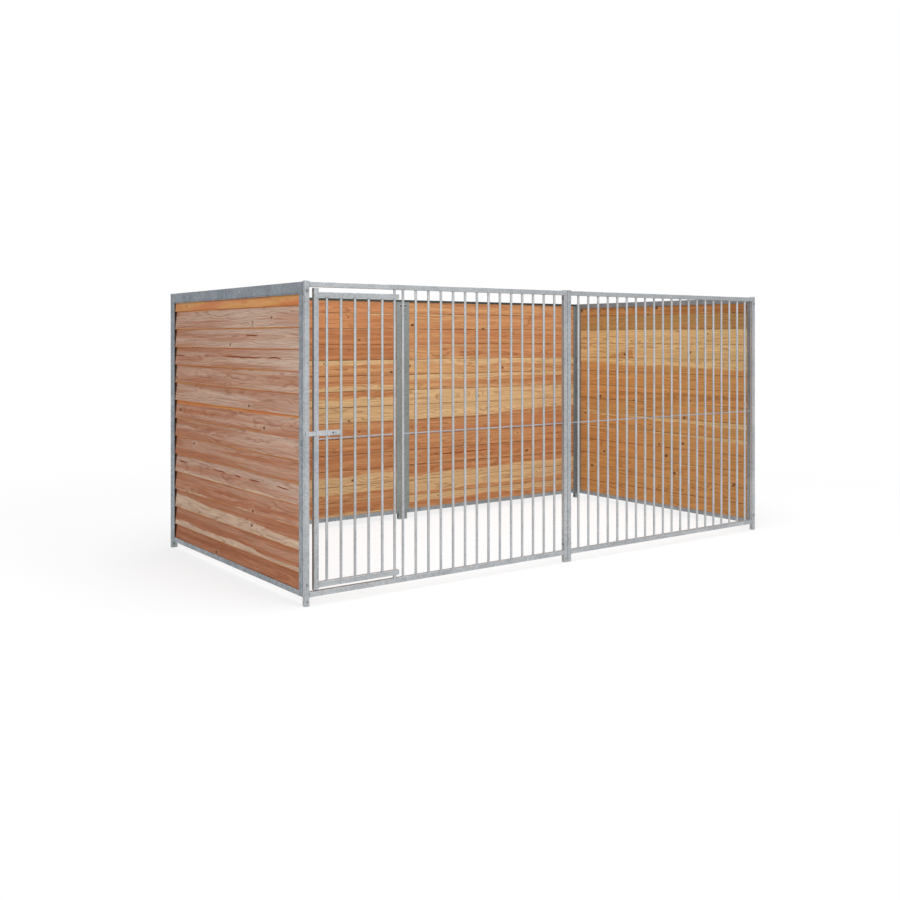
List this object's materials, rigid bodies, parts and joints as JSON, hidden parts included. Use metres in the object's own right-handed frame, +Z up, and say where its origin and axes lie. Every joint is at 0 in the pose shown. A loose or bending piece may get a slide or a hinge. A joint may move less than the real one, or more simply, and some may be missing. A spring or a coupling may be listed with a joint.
{
  "type": "dog kennel",
  "caption": "Open-topped dog kennel run with a galvanised bar front, a hinged bar door with a sliding bolt, and solid larch-board side and back walls in steel channels.",
  "frame": {"origin": "centre of the kennel's footprint, on the floor", "axes": "+X along the front away from the door end, +Y from the front to the back, +Z up"},
  "size_m": [4.0136, 2.0892, 1.846],
  "materials": {
    "galvanised_tube": "hot-dip galvanised, dull spangle",
    "galvanised_bar": "hot-dip galvanised, slightly brighter round bar",
    "galvanised_latch": "hot-dip galvanised flat bar",
    "galvanised_sheet": "galvanised folded sheet, blue-grey spangle",
    "zinc_fasteners": "zinc plated",
    "left_wall_larch": "untreated sawn larch siding with knots, grain and joint lines",
    "right_wall_larch": "untreated sawn larch siding with knots, grain and joint lines",
    "back_left_wall_larch": "untreated sawn larch siding with knots, grain and joint lines",
    "back_right_wall_larch": "untreated sawn larch siding with knots, grain and joint lines",
    "grey_plastic": "moulded grey cap"
  },
  "bodies": {
    "kennel": {"back_left_wall_boards": "back_left_wall_larch", "back_left_wall_bottom_channel": "galvanised_sheet", "back_left_wall_corner_upright": "galvanised_sheet", "back_left_wall_middle_upright": "galvanised_sheet", "back_left_wall_top_board": "back_left_wall_larch", "back_left_wall_top_cap": "galvanised_sheet", "back_right_wall_boards": "back_right_wall_larch", "back_right_wall_bottom_channel": "galvanised_sheet", "back_right_wall_corner_upright": "galvanised_sheet", "back_right_wall_middle_upright": "galvanised_sheet", "back_right_wall_top_board": "back_right_wall_larch", "back_right_wall_top_cap": "galvanised_sheet", "bar_panel_bars": "galvanised_bar", "bar_panel_bottom_rail": "galvanised_tube", "bar_panel_left_post": "galvanised_tube", "bar_panel_right_post": "galvanised_tube", "bar_panel_tie_rod": "galvanised_bar", "bar_panel_top_rail": "galvanised_tube", "cap_screws": "zinc_fasteners", "door_panel_bars": "galvanised_bar", "door_panel_bottom_rail": "galvanised_tube", "door_panel_left_post": "galvanised_tube", "door_panel_right_post": "galvanised_tube", "door_panel_tie_rod": "galvanised_bar", "door_panel_top_rail": "galvanised_tube", "hinge_bar": "galvanised_bar", "hinge_collar": "galvanised_bar", "joint_bolts": "zinc_fasteners", "joint_nuts": "zinc_fasteners", "joint_spacers": "zinc_fasteners", "joint_washers": "zinc_fasteners", "latch_keeper": "galvanised_latch", "left_wall_back_upright": "galvanised_sheet", "left_wall_boards": "left_wall_larch", "left_wall_bottom_channel": "galvanised_sheet", "left_wall_front_upright": "galvanised_sheet", "left_wall_top_board": "left_wall_larch", "left_wall_top_cap": "galvanised_sheet", "post_caps": "grey_plastic", "right_wall_back_upright": "galvanised_sheet", "right_wall_boards": "right_wall_larch", "right_wall_bottom_channel": "galvanised_sheet", "right_wall_front_upright": "galvanised_sheet", "right_wall_top_board": "right_wall_larch", "right_wall_top_cap": "galvanised_sheet"},
    "door": {"door_stile": "galvanised_tube", "door_top_rail": "galvanised_tube", "door_bottom_rail": "galvanised_tube", "door_bars": "galvanised_bar", "door_tie_rod": "galvanised_bar", "latch_plate": "galvanised_latch", "latch_straps": "galvanised_latch"},
    "latch": {"latch_bolt": "galvanised_latch", "latch_knob": "galvanised_latch"}
  },
  "joints": [
    {"name": "door_swing", "type": "hinge", "parent": "kennel", "child": "door", "pos_m": [-1.38983, -1.018, 0.945], "axis": [0, 0, 1], "range_deg": [0, 150]},
    {"name": "latch_slide", "type": "slide", "parent": "door", "child": "latch", "axis": [-1, 0, 0], "range_m": [0, 0.014]}
  ]
}
